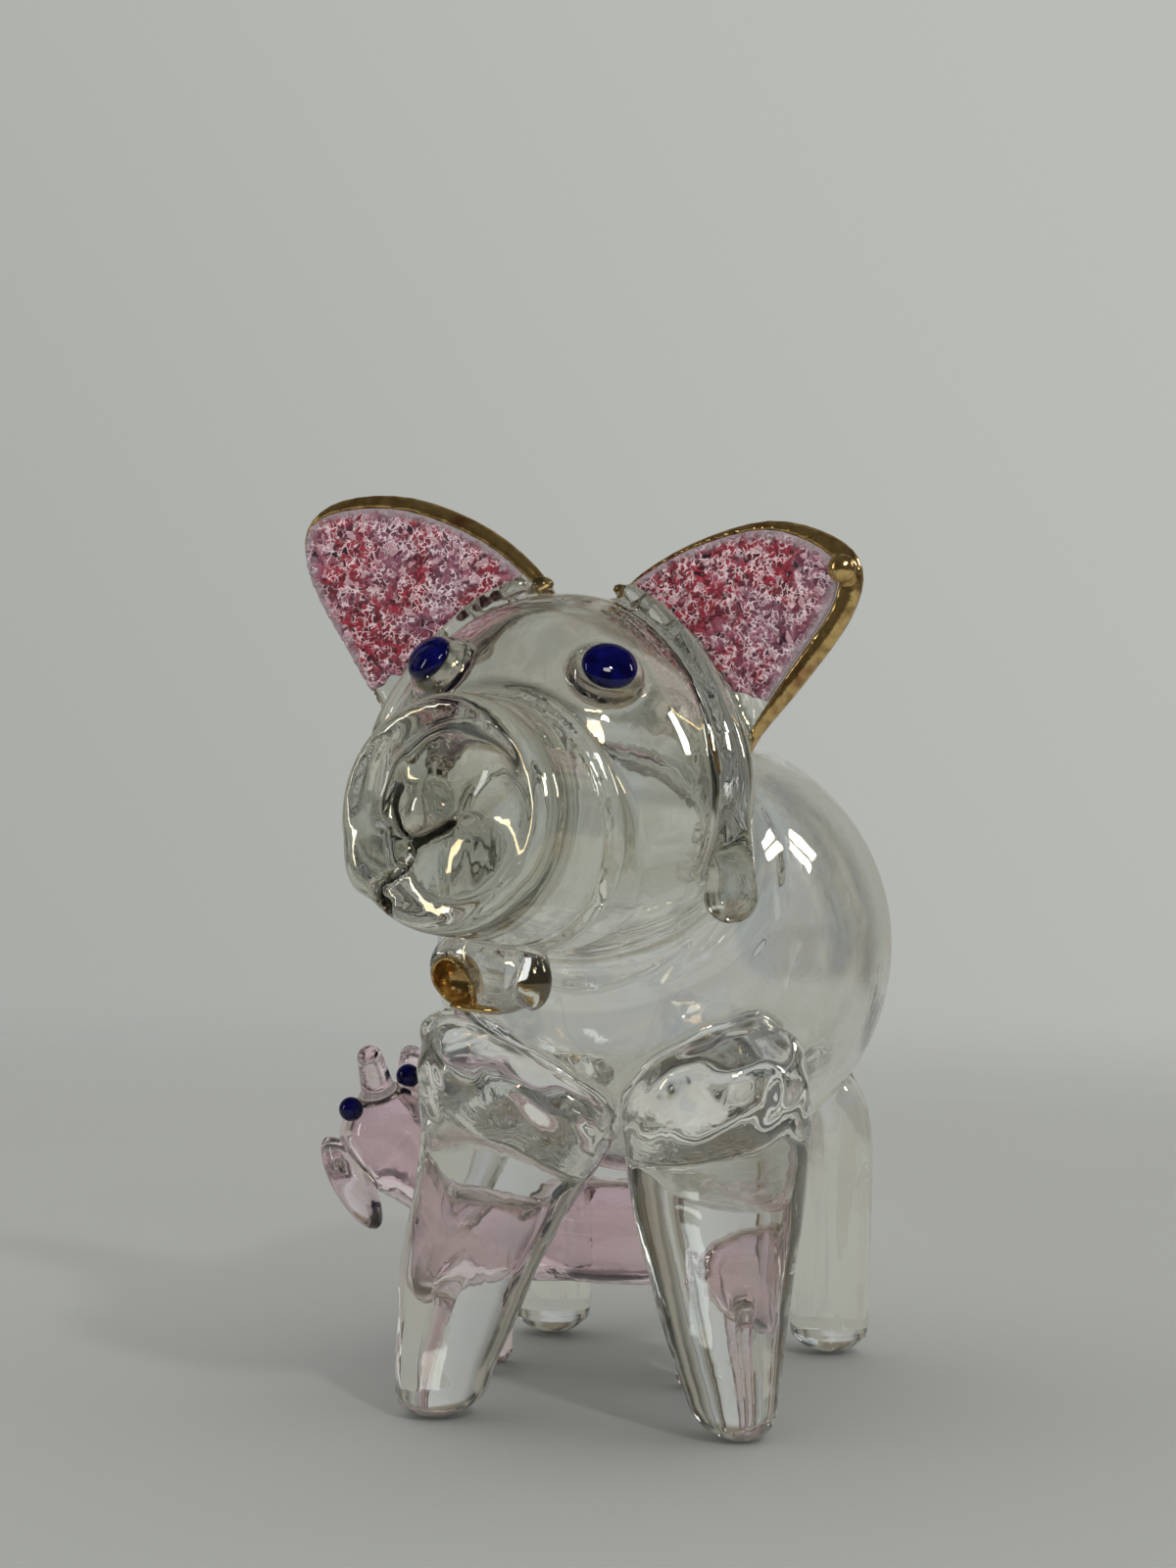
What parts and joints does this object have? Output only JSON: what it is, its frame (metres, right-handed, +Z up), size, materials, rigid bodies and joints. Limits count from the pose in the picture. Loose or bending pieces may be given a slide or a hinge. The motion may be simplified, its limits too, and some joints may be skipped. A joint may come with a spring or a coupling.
{
  "type": "glass pig figurine",
  "caption": "Hollow clear glass pig with frosted pink and gold ears and a drum snout, standing over a pink glass piglet that slides out from under the belly.",
  "frame": {"origin": "on the surface it stands on, below the middle of the figurine's box", "axes": "+Z up, +Y from the snout to the tail, +X to the pig's own left"},
  "size_m": [0.0482, 0.0816, 0.0691],
  "materials": {
    "clear_glass": "clear polished blown glass",
    "rose_glass": "clear rose pink glass",
    "pink_frit": "grains of red and pink glass melted on",
    "gold_lustre": "fired gold lustre on glass",
    "navy_glass": "opaque dark blue glass, polished"
  },
  "bodies": {
    "mother": {"body_bubble": "clear_glass", "head_bubble": "clear_glass", "snout": "clear_glass", "lower_lip": "clear_glass", "gold_lip_lining": "gold_lustre", "lip_knob": "clear_glass", "eye_bead_left": "clear_glass", "eye_bead_right": "clear_glass", "eye_dot_left": "navy_glass", "eye_dot_right": "navy_glass", "ear_left": "clear_glass", "ear_right": "clear_glass", "ear_frit_left": "pink_frit", "ear_frit_right": "pink_frit", "ear_gold_rim_left": "gold_lustre", "ear_gold_rim_right": "gold_lustre", "ear_weld_left": "clear_glass", "ear_weld_right": "clear_glass", "cheek_trail_left": "clear_glass", "cheek_trail_right": "clear_glass", "front_leg_left": "clear_glass", "front_leg_right": "clear_glass", "rear_leg_left": "clear_glass", "rear_leg_right": "clear_glass", "tail": "clear_glass"},
    "piglet": {"piglet_body": "rose_glass", "piglet_head": "rose_glass", "piglet_snout": "rose_glass", "piglet_ear_left": "rose_glass", "piglet_ear_right": "rose_glass", "piglet_eye_left": "navy_glass", "piglet_eye_right": "navy_glass", "piglet_front_leg_left": "rose_glass", "piglet_front_leg_right": "rose_glass", "piglet_rear_leg_left": "rose_glass", "piglet_rear_leg_right": "rose_glass", "piglet_tail": "rose_glass"}
  },
  "joints": [
    {"name": "piglet_slide", "type": "slide", "parent": "mother", "child": "piglet", "axis": [-1, 0, 0], "range_m": [0, 0.04]}
  ]
}
